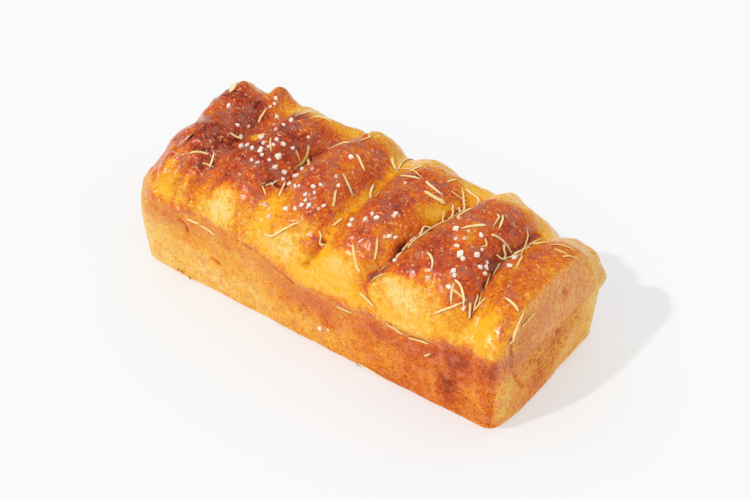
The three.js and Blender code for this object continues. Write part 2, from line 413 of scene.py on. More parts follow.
# Where the loaf's parts are, each from 0 to 1, from the way the skin faces and its place.
x, y, z = skin.T
lumps = speckle(skin, 14, 1)
knobs = speckle(skin, 5, 2)
beads = speckle(skin, 2.6, 3)
rim_height = np.interp(x, *zip(*RIM_LINE)) + 1.0 * speckle(skin, 5, 4) + 0.6 * beads
above_rim = z - rim_height
is_top = soft_step(above_rim, -1.6, 1.6)
on_front = soft_step(-facing[:, 1], 0.2, 0.5) * (y < 0)
on_back = soft_step(facing[:, 1], 0.6, 0.9)
on_right = soft_step(facing[:, 0], 0.5, 0.8) * soft_step(x, 85, 92)
on_left = soft_step(-facing[:, 0], 0.5, 0.8) * soft_step(-x, 85, 92)
faces_up = soft_step(facing[:, 2], 0.1, 0.4) * is_top
is_foot = soft_step(-facing[:, 2], 0.6, 0.9)

# The crust is never even: it undulates, and swells a little just above the rim.
swell = (0.6 * lumps + 0.4 * knobs + 0.22 * beads) * is_top
swell += (0.3 * lumps + 0.14 * knobs + 0.12 * beads) * (1 - is_top)
ledge = np.exp(-((above_rim - 3.0) / 3.2) ** 2) - 0.5 * np.exp(-((above_rim + 0.8) / 1.4) ** 2)
swell += 0.6 * ledge * (1 - soft_step(facing[:, 2], 0.75, 0.95)) * (1 - 0.7 * on_right)
swell *= 1 + 0.6 * np.exp(-(x / 35) ** 2) * on_front
swell += np.exp(-((z - 7) / 8) ** 2) * on_right * soft_step(-y, -12, 0)

# Bulges and hollows at the corners: x, y, z, radius along each, rise.
CORNER_BULGES = [
    (-97, -36, 26, 7, 14, 18, 1.2), (96, 36, 34, 6, 6, 3.5, 2.2), (90, -38, 0, 14, 9, 6, -2.6),
]
for cx, cy, cz, rx, ry, rz, rise in CORNER_BULGES:
    swell += rise * np.exp(-((x - cx) / rx) ** 2 - ((y - cy) / ry) ** 2 - ((z - cz) / rz) ** 2)

# Creases between the lobes: their line in x and y, width, depth and how much darker they are, partly
# browner crust and partly painted shade in the hollow.
TOP_CREASES = [
    ([(29, -34), (33, -28), (34, -16), (36.5, -2), (40, 12), (43, 26)], 1.1, 1.9, 0.32),
    ([(34, -20.6), (34.8, -17.4)], 1.3, 1.4, 0.4),
    ([(74.5, -30), (72, -14), (70.5, 0), (71.5, 12), (73, 25)], 1.1, 1.6, 0.3),
    ([(69.4, -9.6), (70, -5.6)], 1.4, 1.3, 0.35),
    ([(-20, 29), (-26, 20), (-30, 8), (-31, -6), (-28, -19)], 1.3, 1.8, 0.3),
    ([(2, -36), (4, -22), (4, -4), (3, 12)], 2.0, 0.9, 0),
    ([(-54, 24), (-58, 14), (-62, 6), (-66, -2), (-62, -12)], 1.6, 1.2, 0.12),
    ([(-74, -22), (-68, -20), (-63, -23)], 1.5, 1.8, 0.15),
    ([(-83, -24), (-79, -18)], 1.2, 1.2, 0.2),
    ([(-80, -33), (-76, -27)], 1.4, 1.0, 0.03),
    ([(-73, -34), (-71, -27)], 1.4, 1.1, 0.03),
    ([(-67, -33), (-66, -26)], 1.3, 0.9, 0.02),
    ([(-28, -17), (-33, -20), (-35, -24)], 1.1, 0.8, 0.16),
    ([(-36, -17), (-31, -19), (-27, -16)], 1.3, 0.7, 0.12),
    ([(14, 12), (22, 17), (30, 13)], 1.6, 0.8, 0.1),
    ([(42, -22), (48, -30)], 1.6, 0.6, 0),
    ([(49, -9), (54, -13), (60, -12)], 1.2, 0.7, 0.08),
    ([(-44, 20), (-48, 12), (-46, 5)], 1.4, 0.8, 0.1),
]
# Creases and slots in the front: their line in x and z, width, depth and how much darker they are,
# partly browner crust and partly painted shade.
FRONT_CREASES = [
    ([(34, 52), (30, 49), (27.8, 45), (29, 41), (35, 37)], 0.9, 1.0, 0.16),
    ([(2, 51.5), (0.5, 46), (-1.5, 41.5)], 1.2, 2.6, 0.26), ([(-2, 41.5), (2, 41)], 1.0, 1.2, 0.14),
    ([(-69, 34), (-66, 32), (-65, 29)], 1.0, 1.0, 0.35),
    ([(-52, 20.5), (-48, 19.8)], 1.1, 1.1, 0.4),
    ([(-88, 47), (-83, 45), (-79, 41)], 1.6, 1.1, 0.05), ([(-73, 50), (-72, 44)], 1.5, 1.1, 0.03),
    ([(-66, 50), (-65, 44)], 1.3, 0.8, 0.02), ([(-38, 44), (-37, 38)], 1.2, 0.8, 0.15),
    ([(-33, 38), (-30, 37)], 1.0, 0.7, 0.3), ([(-12, 33), (-7, 31)], 1.0, 0.6, 0.3),
    ([(62, 44), (66, 40), (70, 38)], 1.5, 0.8, 0.15),
    ([(27, 42), (20, 39.5), (11, 38.5)], 0.9, 0.7, 0.1),
    ([(27, 44), (19, 43.5), (10, 44.5)], 0.9, 0.6, 0.08),
    ([(26, 40), (21, 36), (14, 34)], 0.9, 0.6, 0.1),
    ([(45, 50), (52, 48), (60, 49)], 1.2, 0.4, 0.03),
    ([(-22, 50), (-18, 44), (-12, 41)], 1.1, 0.5, 0.06),
]
# Creases and pits in the right end: their line in y and z, width, depth and how much darker they are,
# partly browner crust and partly painted shade.
END_CREASES = [
    ([(-30, 47), (-32.5, 39), (-31.5, 32), (-28, 25), (-22, 16)], 0.9, 1.1, 0.26),
    ([(-26, 44), (-21, 46)], 1.5, 0.6, 0.1),
    ([(5.5, 47), (6.5, 47)], 1.2, 1.2, 0.45),
    ([(1, 30), (3, 28)], 1.1, 1.0, 0.35),
    ([(-12, 24), (-10, 20)], 1.0, 0.8, 0.3),
    ([(14, 31), (16, 30)], 0.9, 0.7, 0.3),
]
# Where the right end tore off the tin: y, z, radius along y and z, amount.
TORN_PATCHES = [(6, 22, 13, 10, 1), (-17, 28, 8, 7, 0.9), (-8, 14, 10, 6, 0.6)]
# How wide the painted shade and browning along a crease is, against the crease's own width.
DARKENING_WIDTH = 0.8


def press_creases(crease_list, u, v, where):
    """How deep a set of creases goes and how much darker it is, browner crust with painted shade, at
    every point of the skin.
    """
    depths = np.zeros(len(skin))
    darkness = np.zeros(len(skin))
    for line, width, depth, darkening in crease_list:
        gap = away_from_line(u, v, line)
        depths += depth * np.exp(-(gap / width) ** 2)
        darkness += darkening * np.exp(-(gap / (DARKENING_WIDTH * width)) ** 2)
    return depths * where, darkness * where


# Each crease sinks the skin and darkens it: partly browner crust, partly painted shade in the hollow.
top_depths, top_darkness = press_creases(TOP_CREASES, x + 0.7 * knobs, y, faces_up)
front_depths, front_darkness = press_creases(FRONT_CREASES, x, z, on_front)
end_depths, end_darkness = press_creases(END_CREASES, y, z, on_right)
swell -= top_depths * (1 + 0.5 * knobs) + front_depths + end_depths
crease_bake_and_shade = top_darkness + front_darkness + end_darkness
torn = patches(y, z, TORN_PATCHES) * on_right
swell += torn * (0.5 * beads + 0.4 * knobs - 0.1)

# Blisters under the glaze: x, y, radius, height. Many small ones lie scattered besides.
SMALL_BLISTERS = 150
BLISTERS = [
    (-74, 15, 4, 1.5), (-79, 12, 3, 1.1), (-71, 19, 2.5, 1.2), (-76, 8, 2.5, 0.9),
    (-82, 19, 3, 0.9), (-70, 12, 2, 0.8), (-74, -8, 3, 0.9), (-70, -13, 2.5, 0.8),
    (-79, -3, 2.5, 0.7), (-38, 12, 4.2, 1.3), (-46, 16, 3, 0.7), (-42, 4, 2, 0.5),
    (-30, -29, 2.4, 0.8), (-25, -32, 2.2, 0.7), (-9, 7, 3, 0.7), (-12, 12, 2.2, 0.5),
    (19, 18, 5, 1.0), (54, -8, 3, 0.8), (57, -3, 2.4, 0.7), (50, -6, 2.4, 0.6), (60, -10, 2, 0.6),
    (54, -30, 2.4, 0.6), (27, -13, 2.2, 0.6), (52, 2, 2.6, 0.5), (-86, 2, 3, 0.6),
    (-68, 1, 1.8, 0.6), (-54, -26, 2.4, 0.5), (-49, -20, 2.2, 0.4),
]
chance = random.Random(5)
small_blisters = []
for count in range(SMALL_BLISTERS):
    centre = (chance.uniform(-90, 92), chance.uniform(-33, 30))
    small_blisters.append((*centre, chance.uniform(0.9, 1.8), chance.uniform(0.15, 0.4)))
for centre_x, centre_y, radius, height in BLISTERS + small_blisters:
    gap = np.hypot(x - centre_x, y - centre_y) / radius
    swell += height * np.maximum(1 - gap ** 2, 0) ** 1.2 * faces_up

# Burst bubbles in the front, each a low ring: x, height above the table, radius.
BURST_BUBBLES = [(-15, 46, 2.2), (70, 46, 2.0), (-8, 50, 1.4), (55, 52, 1.8)]
RING_HEIGHT = 0.5
RING_THICKNESS = 0.6
for centre_x, centre_z, radius in BURST_BUBBLES:
    gap = np.hypot(x - centre_x, z - centre_z)
    swell += RING_HEIGHT * np.exp(-((gap - radius) / RING_THICKNESS) ** 2) * on_front

swell *= 1 - is_foot
skin = skin + facing * swell[:, None]
skin[:, 2] = np.maximum(skin[:, 2], 0)


def rounded_mesh(name, corners, faces):
    """A smooth-looking mesh from corners in millimetres."""
    mesh = bpy.data.meshes.new(name)
    mesh.from_pydata((np.array(corners) * MM).tolist(), [], faces)
    mesh.polygons.foreach_set("use_smooth", [True] * len(faces))
    return mesh


def hold(mesh, name, values):
    """Keep one value at each corner of a mesh, for its finish to read."""
    layer = mesh.attributes.new(name, "FLOAT", "POINT")
    layer.data.foreach_set("value", np.array(values, np.float32))


loaf_mesh = rounded_mesh("loaf_crust", skin, skin_squares)
loaf = bpy.data.objects.new("loaf_crust", loaf_mesh)
bpy.context.collection.objects.link(loaf)

# How brown each lobe baked, from 0, cream, to 1, nearly black, and what share of that its grooves,
# front and back took: the dough in the grooves and low down stayed paler. The paler front of the top
# is partly the dough's own cream and partly a painted highlight of the lamp on the glaze.
LOBE_BAKE = [0.72, 0.71, 0.60, 0.60, 0.62, 0.50]
GROOVE_BAKE = 0.9
FRONT_BROWN_SHARE = 0.38
BACK_BAKE = 0.38
# Patches on the top: x, y, radius along x and y, amount.
TOP_PATCHES = [
    (-76, 17, 9, 7, 0.1), (-73, -12, 6, 6, 0.12), (-68, 8, 4, 10, 0.1), (-66, -32, 6, 5, 0.06),
    (-88, -8, 5, 22, -0.2), (-80, -26, 8, 5, -0.14), (-72, -26, 7, 4, -0.08), (-84, 2, 5, 8, -0.05),
    (-56, 14, 5, 8, -0.1), (-54, -14, 6, 9, 0.02), (-42, 6, 8, 14, 0.08), (-39, 15, 7, 8, -0.12),
    (-52, 25, 9, 7, -0.2), (-60, 2, 4, 3.5, -0.45), (-40, -26, 8, 4, -0.08),
    (-26, -27, 6, 5, -0.34), (-27, 6, 4, 9, 0.12), (-20, 14, 6, 5, 0.06), (-10, 5, 5, 5, -0.12),
    (-15, -4, 5, 6, 0.03), (-4, 15, 4, 8, 0.03), (-4, -14, 3, 6, 0.02), (0, -2, 2.5, 7, 0.08),
    (7, -2, 4, 6, -0.14), (4.5, -22, 4, 5, 0.12), (21, -9, 8, 7, 0.17), (12, -8, 4, 5, 0.05),
    (20, -21, 7, 3.5, -0.1), (14, 14, 8, 5, 0.04), (26, 12, 5, 4, 0.05), (20, 2, 10, 4, -0.02),
    (9, 24, 8, 7, -0.2), (35, 3, 4, 9, -0.36), (49, -19, 7, 5, 0.16), (44, -6, 4, 8, -0.05),
    (56, 14, 9, 7, 0.03), (55, -6, 5, 4, -0.14), (65, -15, 4, 6, 0.12), (60, -9, 4, 4, -0.1),
    (45, 24, 9, 8, -0.32), (66, 9, 4, 6, 0.03), (55, -26, 6, 4, 0.1), (81, -8, 6, 14, 0.07),
    (78, 12, 5, 8, 0.03), (90, 6, 5, 14, -0.08), (88, -26, 7, 6, -0.12), (76, 26, 5, 6, -0.2),
    (4, -12, 4, 18, -0.26), (-67, 30, 5, 6, 0.3), (-31, -29, 2, 2, -0.2), (-24, -31, 2, 2, -0.15),
    (-47, -14, 5, 8, 0.06), (68, -6, 3, 10, 0.03), (-62, -8, 5, 10, 0.05), (10, -26, 5, 5, -0.12),
    (3, 26, 6, 7, -0.12), (-8, -8, 5, 8, -0.05), (55, 2, 8, 7, -0.07), (7, 17, 5, 7, -0.2),
    (30, -2, 4, 8, -0.16), (30, -16, 3, 10, -0.12), (38, -22, 3, 7, -0.1), (77, -8, 3.5, 14, -0.12),
    (-6, -28, 5, 4, 0.04), (31, -24, 4, 6, -0.08), (80, -20, 6, 8, -0.04), (93, -10, 4, 20, -0.08),
    (60, 26, 8, 5, -0.12), (-68, -17, 5, 5, 0.12), (-48, 27, 6, 4, -0.12), (-51, 8, 4, 4, -0.06),
    (36, 2, 4, 6, -0.1), (28, -10, 4, 5, 0.1), (19, -18, 5, 4, 0.06),
]
# Patches on the front of the top, above the rim: x, z, radius along x and z, amount. The paler ones
# are partly the dough's own cream and partly a painted highlight of the lamp on the glaze.
FRONT_PATCHES = [
    (-49, 48, 10, 5.5, -0.26), (-28, 34, 10, 2, 0.25), (12, 33, 16, 1.8, 0.25),
    (-80, 40, 12, 2, 0.15), (-78, 44, 5, 4, -0.12), (-71, 50, 5, 4, 0.06), (-66, 46, 4, 4, 0.14),
    (-91, 46, 5, 7, 0.18), (-37, 47, 4, 6, 0.1), (-15, 45, 9, 4.5, -0.22), (-28, 46, 4, 4, -0.1),
    (-3, 50, 3, 4, 0.2), (12, 47, 7, 4, -0.3), (12, 38, 12, 6, -0.1), (42, 38, 14, 3, -0.06),
    (45, 48, 11, 4, -0.26), (27, 47, 2.5, 5, 0.2), (62, 43, 6, 3, -0.12), (66, 38, 6, 3, 0.1),
    (80, 44, 7, 5, -0.06), (91, 48, 5, 6, 0.22), (34, 34, 7, 3, 0.16), (-15, 34.5, 9, 2.5, 0.16),
    (0, 39, 6, 5, -0.22), (14, 42, 9, 4, -0.1), (70, 50, 5, 4, 0.08), (-20, 36, 9, 2, 0.05),
    (84, 38, 12, 2, 0.15),
]
# Patches of yellow dough on the top: x, y, radius along x and y, amount.
GOLD_ON_TOP = [
    (-60, 3, 4.5, 3.5, 0.9), (-26, -27, 6, 5, 0.9), (-31, 27, 6, 6, 0.6), (4, -22, 3.5, 14, 0.85),
    (3.5, 3, 2.5, 12, 0.5), (-76, -24, 6, 4, 0.5), (-22, -33, 8, 4, 0.5), (12, -32, 8, 4, 0.6),
    (6, 20, 6, 10, 1.0), (40, 14, 4, 10, 0.9), (14, 33, 9, 6, 0.6), (35.5, 3, 3.2, 8, 0.85),
    (45, 24, 9, 9, 1.0), (76, 24, 4, 7, 0.7), (-78, -31, 7, 4, 0.6), (-66, -24, 4, 3, 0.45),
    (82, -30, 8, 5, 0.5), (94, 37, 5, 6, 0.5), (-50, 32, 10, 5, 0.4), (62, 33, 14, 7, 0.9),
    (36, 36, 7, 6, 0.9), (-22, 36, 9, 5, 0.7), (2, 34, 6, 6, 0.8), (33, -24, 1.5, 5, 0.4),
    (-10, 36, 9, 4, 0.5),
]
# Patches of yellow dough on the front of the top: x, z, radius along x and z, amount.
GOLD_ON_FRONT = [
    (-79, 44, 6, 4.5, 1.0), (-28, 49, 4, 4, 0.5), (0, 40, 7, 7, 1.0), (13, 41, 11, 7, 1.0),
    (42, 38, 14, 4, 0.9), (-20, 39, 9, 3, 0.4), (62, 42, 9, 4.5, 0.9), (85, 45, 11, 7, 1.0),
    (-28, 40, 8, 4, 0.5), (-6, 36, 6, 4, 0.6), (-64, 42, 6, 3, 0.4), (24, 40, 5, 4, 0.6),
]
# Patches on the front wall: x, z, radius along x and z, amount.
WALL_PATCHES = [
    (-94, 20, 6, 20, -0.3), (-70, 10, 24, 14, -0.16), (-40, 12, 16, 7, -0.05),
    (-30, 10, 20, 7, -0.08), (-10, 20, 14, 8, 0.1), (8, 24, 12, 8, 0.1), (28, 8, 10, 6, -0.04),
    (34, 28, 12, 4, 0.12), (42, 12, 6, 7, -0.1), (0, 12, 20, 5, -0.05), (38, 4, 8, 2.5, 0.12),
    (56, 18, 7, 12, 0.04), (70, 31, 12, 5, 0.24), (71, 14, 5, 10, 0.3), (68, 28, 2.6, 4, -0.3),
    (84, 14, 7, 8, -0.08), (92, 35, 6, 6, 0.25), (-86, 24, 6, 6, -0.1), (12, 17, 5, 6, 0.08),
    (76, 30, 5, 9, 0.1), (-78, 34, 14, 3, 0.1),
]
# Patches on the back wall: x, z, radius along x and z, amount.
BACK_PATCHES = [
    (-62, 14, 20, 10, 0.1), (-30, 30, 16, 6, 0.16), (-6, 10, 14, 8, -0.12), (14, 24, 18, 7, 0.14),
    (44, 12, 12, 9, 0.16), (72, 26, 12, 9, 0.14), (88, 8, 8, 8, -0.14),
]
# Patches on the right end: y, z, radius along y and z, amount.
END_PATCHES = [
    (-35, 20, 4, 16, -0.16), (-35, 39, 5, 5, 0.34), (-16, 49, 8, 5, 0.1), (35, 24, 12, 26, -0.4),
    (14, 12, 10, 14, -0.1), (0, 46, 16, 5, 0.04), (-26, 40, 6, 7, 0.3), (10, 20, 6, 6, -0.04),
    (-12, 22, 8, 8, 0.05), (4, 27, 6, 5, 0.12), (-14, 9, 14, 6, 0.16),
]

ridge = np.zeros(len(skin))
lobe_tone = np.zeros(len(skin))
for index, darkening in enumerate(LOBE_BAKE):
    across = np.abs(across_lobe(index, x, y))
    is_this = across <= 1
    if index == 0:
        is_this |= x < GROOVES[0][1]
    ridge[is_this] = 1 - soft_step(across[is_this], 0.75, 1.0)
    lobe_tone[is_this] = darkening
wander = 3.0 * lumps + 2.0 * knobs
front_fade = soft_step(y + wander, -35, -26)
back_fade = 1 - soft_step(y + wander, 16, 29)
browning = lobe_tone * (GROOVE_BAKE + (1 - GROOVE_BAKE) * ridge)
# Paler towards the front: partly the dough's own paleness, partly a painted highlight of the lamp.
browning *= FRONT_BROWN_SHARE + (1 - FRONT_BROWN_SHARE) * front_fade
browning *= BACK_BAKE + (1 - BACK_BAKE) * back_fade
browning += patches(x, y, TOP_PATCHES) * faces_up + patches(x, z, FRONT_PATCHES) * on_front
# The creases add their painted shade and browner crust to the top.
browning += crease_bake_and_shade + 0.1 * knobs + 0.05 * lumps
# The edge over the tin's rim caught more heat.
browning += 0.22 * np.exp(-((above_rim - 0.4) / 1.4) ** 2) * (0.6 + 0.8 * knobs) * (1 - on_right)
browning = browning * (1 - 0.32 * on_right) - 0.12 * on_left
browning += (0.16 + 0.12 * lumps) * on_back

# Where yellow dough shows, how brown the walls baked, with painted shade in their creases, the redder
# band just under the rim, and the pale pink wash over the right end, most on its upper part, which is
# partly its own colour and partly a painted sheen.
gold = patches(x, y, GOLD_ON_TOP) * faces_up + patches(x, z, GOLD_ON_FRONT) * on_front
gold -= 1.6 * crease_bake_and_shade
gold *= 0.35 + 0.65 * soft_step(above_rim + 2 * knobs, 1, 7)
wall_tone = 0.32 + 0.22 * soft_step(x, -20, 60) + 0.06 * lumps + 0.05 * knobs + crease_bake_and_shade
wall_tone += patches(x, z, WALL_PATCHES) * on_front + patches(x, z, BACK_PATCHES) * on_back
wall_tone += on_right * (-0.2 + 0.05 * torn + patches(y, z, END_PATCHES)) - 0.15 * is_foot
band = np.exp(-((above_rim + 5.5) / 5.5) ** 2) * (0.75 + 0.6 * lumps) * (1 - 0.5 * on_right)
band *= 0.4 + 0.6 * np.exp(-((x + 2) / 18) ** 2) + 0.55 * np.exp(-((x + 84) / 12) ** 2)
# The right end's wash: partly its own pale pink, partly a painted sheen on its upper part.
end_wash_and_sheen = on_right * (1 - 0.8 * torn) * (0.3 + 0.7 * soft_step(z, 26, 40))
end_wash_and_sheen *= 1 - soft_step(y, 18, 30)
painted_values = {
    "top": is_top * (1 - 0.75 * on_right), "browning": browning, "gold": gold,
    "wall_tone": wall_tone, "band": band, "torn": torn, "end": end_wash_and_sheen,
}
for name, values in painted_values.items():
    hold(loaf_mesh, name, np.clip(values, 0, 1))


def place_in(finish):
    """The place in the object, in metres, at each point of a finish."""
    return Tone(finish.node_tree).node("TexCoord", {}, {}, "Object")


def colour(red, green, blue):
    """A colour given as 0 to 255 on a screen, as light."""
    parts = [channel / 255 for channel in (red, green, blue)]
    return (*[p / 12.92 if p <= 0.04045 else ((p + 0.055) / 1.055) ** 2.4 for p in parts], 1)


# The crust's emission is the painted glow of its yellow dough, set below.
crust, crust_shader = new_finish(
    "baked_crust", Subsurface_Weight=0.06, Subsurface_Scale=0.003, Specular_IOR_Level=0.2,
    Coat_Roughness=0.25, Emission_Strength=0.12,
)
place = place_in(crust)
fine = place.grain(0.8, 2, 0.65)
medium = place.grain(2.4, 3, 0.65)
broad = place.grain(9, 2, 0.5)
# Pale specks on the dark tops, then the top's colours, from raw to nearly burnt; they also carry the
# creases' painted shade and the front's painted highlight.
specks = place.grain(1.1, 1, 0.5).between(0.60, 0.70)
crust_tone = place.painted("browning") + (fine - 0.5) * 0.56
crust_tone = crust_tone + (medium - 0.5) * 0.8 + (broad - 0.5) * 0.3
is_dark = place.painted("browning").between(0.42, 0.6)
crust_tone = crust_tone - specks * is_dark * 0.18
top_colour = crust_tone.ramp([
    (0.0, colour(255, 220, 132)), (0.14, colour(255, 196, 60)), (0.28, colour(250, 162, 8)),
    (0.44, colour(240, 124, 4)), (0.57, colour(230, 98, 14)), (0.70, colour(206, 74, 20)),
    (0.84, colour(164, 52, 22)), (1.0, colour(108, 32, 20)),
])
# A mauve tint on the dark tops, partly their own colour and partly a painted sheen; pale dots of
# painted glints on the glaze; and yellow dough with a painted glow.
is_pale = 1 - crust_tone.between(0.32, 0.56)
# Painted sheen, partly: the mauve stands in for the room's pale reflection on the dark glaze.
mauve_and_sheen = place.grain(6, 3, 0.6).between(0.46, 0.62) * is_dark
top_colour = top_colour.towards(colour(190, 112, 90), mauve_and_sheen * 0.6)
# Painted glints: pale dots where the glaze would catch the lamp.
painted_glints = place.grain(1.3, 0, 0.5).between(0.67, 0.75)
top_colour = top_colour.towards(colour(255, 196, 130), painted_glints * 0.6)
yolk = place.painted("gold") * is_pale * (0.1 + medium * 1.4)
top_colour = top_colour.towards(colour(255, 180, 0), yolk)
# Painted glow: the yellow dough emits a little light, standing in for light passing through it.
painted_glow = yolk.ramp([(0.1, (0, 0, 0, 1)), (0.9, colour(255, 190, 0))])
painted_glow.feed(crust_shader, "Emission Color")
# The dry walls: streaked at the right end, where the crumb also shows its pores.
streaks = place.grain(1.1, 2, 0.6, stretch=(1, 1, 0.22))
dry = place.painted("wall_tone") + (fine - 0.5) * 0.7
dry = dry + (medium - 0.5) * 0.36 + (broad - 0.5) * 0.3
pits = place.grain(1.0, 1, 0.5, stretch=(1, 1, 0.6)).between(0.62, 0.72)
pores = place.grain(1.5, 2, 0.6).between(0.54, 0.64) * place.painted("torn")
dry = dry + (streaks - 0.5 + (fine - 0.5) * 0.8) * place.painted("end") * 1.5
dry = dry + pits * 0.14 + pores * 0.4
wall_colour = dry.ramp([
    (0.0, colour(255, 218, 136)), (0.22, colour(254, 194, 82)), (0.42, colour(246, 152, 40)),
    (0.58, colour(226, 108, 20)), (0.74, colour(190, 74, 18)), (1.0, colour(120, 46, 24)),
])
wall_colour = wall_colour.towards(colour(210, 104, 78), place.painted("band") * 0.85)
# Painted sheen, partly: a pale pink wash, streaked, over the right end.
end_wash_and_sheen_share = place.painted("end") * (streaks.between(0.40, 0.60) * 0.5 + 0.28)
wall_colour = wall_colour.towards(colour(246, 164, 120), end_wash_and_sheen_share)
blush = place.grain(5, 2, 0.6).between(0.48, 0.66)
wall_colour = wall_colour.towards(colour(242, 146, 98), blush * 0.45)
crust_colour = wall_colour.towards(top_colour, place.painted("top"))
crust_colour.feed(crust_shader, "Base Color")
# The glaze shines unevenly, on the top only.
glazed = place.painted("top")
shine = glazed * (0.6 + (medium - 0.5) * 2.4)
shine.feed(crust_shader, "Coat Weight")
(0.68 - glazed * 0.34 + (medium - 0.5) * 0.3).feed(crust_shader, "Roughness")
wrinkles = place.grain(1.6, 4, 0.6)
relief = fine * 0.6 + wrinkles * 1.4 + streaks * place.painted("end") * 1.4
relief = relief - pits * 0.4 - pores * 0.8
bump = place.node("Bump", {}, {"Strength": 0.9, "Distance": 0.0007, "Height": relief})
bump.feed(crust_shader, "Normal")
loaf_mesh.materials.append(crust)

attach(loaf, "root")
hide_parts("loaf")


# ---------------------------------------------------------------- rosemary needles
# Dried rosemary leaves, strewn on the glaze before baking. Each is a narrow blade with its
# long edges rolled under and a shallow groove along the middle. It lies on the crust.
NEEDLE_WIDTH = 1.15
# The blade's section: across and up, for a blade one unit wide.
BLADE = [
    (-0.5, 0.0), (-0.47, 0.2), (-0.32, 0.35), (-0.13, 0.34), (0, 0.27), (0.13, 0.34), (0.32, 0.35),
    (0.47, 0.2), (0.5, 0.0), (0.36, -0.12), (0.15, 0.02), (-0.15, 0.02), (-0.36, -0.12),
]
# The rolled edges and the underside are painted darker: the rolled edges are browner leaf, and the
# darker underside is painted shade.
EDGE_FROM = 0.45
UNDERSIDE = 0.1
NEEDLE_RINGS = 16
# How far a needle's middle line lies above the crust, against its width.
NEEDLE_HOVER = 0.1
# How many times a needle is eased straight between the places where it touches the crust.
STIFFNESS = 30
# How wide a needle is at its base and its tip against its middle, and how fast it widens.
BASE_SHARE = 0.5
BASE_GROWTH = 5
TIP_SHARE = 0.16
TIP_GROWTH = 3.2
DROP_HEIGHT = 100

crust_form = BVHTree.FromPolygons(skin.tolist(), skin_squares)


def drop_on_crust(point):
    """The place on the crust below a point with x and y, or nearest to one with z too."""
    if len(point) == 3:
        place, normal, _, _ = crust_form.find_nearest(Vector(point))
    else:
        above = Vector((*point, DROP_HEIGHT))
        place, normal, _, _ = crust_form.ray_cast(above, Vector((0, 0, -1)))
    return place, normal


def smooth_line(points, count):
    """Evenly spread places on a smooth curve through a few points."""
    points = [np.array(point, float) for point in points]
    padded = [2 * points[0] - points[1], *points, 2 * points[-1] - points[-2]]
    places = []
    for share in np.linspace(0, len(points) - 1, count):
        index = min(int(share), len(points) - 2)
        t = share - index
        a, b, c, d = padded[index:index + 4]
        bend = (2 * a - 5 * b + 4 * c - d) * t ** 2 + (3 * b - a - 3 * c + d) * t ** 3
        places.append(0.5 * (2 * b + (c - a) * t + bend))
    return places


def lay_line(points, hover):
    """A line laid on the crust, stiff enough to bridge its hollows, and its upward side."""
    landed = [drop_on_crust(tuple(point)) for point in smooth_line(points, NEEDLE_RINGS)]
    places = np.array([place for place, _ in landed])
    up = np.mean([normal for _, normal in landed], axis=0)
    up /= np.linalg.norm(up)
    heights = places @ up
    floor = heights.copy()
    for pass_number in range(STIFFNESS):
        middle = (heights[:-2] + heights[2:]) / 2
        heights[1:-1] = np.maximum(floor[1:-1], middle)
        heights[0] = max(floor[0], 2 * heights[1] - heights[2])
        heights[-1] = max(floor[-1], 2 * heights[-2] - heights[-3])
    return places + np.outer(heights - floor + hover, up), up


def sides_of(spine, up):
    """The ways across and out of a strip, at each place along its middle."""
    forward = np.gradient(spine, axis=0)
    forward /= np.linalg.norm(forward, axis=1)[:, None]
    side = np.cross(forward, up)
    side /= np.linalg.norm(side, axis=1)[:, None]
    return side, np.cross(side, forward)


def strip_mesh(name, corners, span, edges, tint):
    """A closed strip over rings of corners, span to a ring, in the finish of dried leaves."""
    last_ring = len(corners) - span
    faces = [list(range(span))[::-1], [last_ring + k for k in range(span)]]
    for first in range(0, last_ring, span):
        for k in range(span):
            a = first + k
            b = first + (k + 1) % span
            faces.append([a, b, b + span, a + span])
    mesh = rounded_mesh(name, corners, faces)
    hold(mesh, "edge", edges)
    hold(mesh, "tint", [tint] * len(corners))
    mesh.materials.append(straw)
    return mesh


def build_needle(name, points, width, tint, roll):
    """A needle along a few points, base first and tip last."""
    spine, up = lay_line(points, NEEDLE_HOVER * width)
    side, above = sides_of(spine, up)
    corners = []
    edges = []
    for ring in range(NEEDLE_RINGS):
        t = ring / (NEEDLE_RINGS - 1)
        girth = width * min(1, BASE_SHARE + BASE_GROWTH * t, TIP_SHARE + TIP_GROWTH * (1 - t))
        # A dried blade twists as it goes, each one in its own way.
        turn = roll * (1 + 0.5 * math.sin(5 * t + 9 * tint))
        for across, rise in BLADE:
            u = across * math.cos(turn) - rise * math.sin(turn)
            v = across * math.sin(turn) + rise * math.cos(turn)
            corners.append(spine[ring] + girth * (u * side[ring] + v * above[ring]))
            edges.append(float(abs(across) > EDGE_FROM or rise < UNDERSIDE))
    mesh = strip_mesh(name, corners, len(BLADE), edges, tint)
    needle = bpy.data.objects.new(name, mesh)
    bpy.context.collection.objects.link(needle)
    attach(needle, "root")
    return needle


straw, straw_shader = new_finish("dried_rosemary", Roughness=0.55, Specular_IOR_Level=0.4)
place = place_in(straw)
fibre = place.grain(0.5, 2, 0.6)
toasted = place.painted("tint") * 0.55 + (place.grain(2.5, 2, 0.5) - 0.5) * 0.9
toasted = toasted + (fibre - 0.5) * 0.5
blade_colour = toasted.ramp([
    (0.0, colour(255, 230, 168)), (0.35, colour(255, 214, 128)), (0.62, colour(242, 176, 80)),
    (0.85, colour(170, 112, 44)), (1.0, colour(100, 66, 36)),
])
# Browner rolled edges, and painted shade on the underside.
blade_colour = blade_colour.towards(colour(164, 94, 34), place.painted("edge") * 0.6)
blade_colour.feed(straw_shader, "Base Color")
fibre_bump = place.node("Bump", {}, {"Strength": 0.5, "Distance": 0.0002, "Height": fibre})
fibre_bump.feed(straw_shader, "Normal")


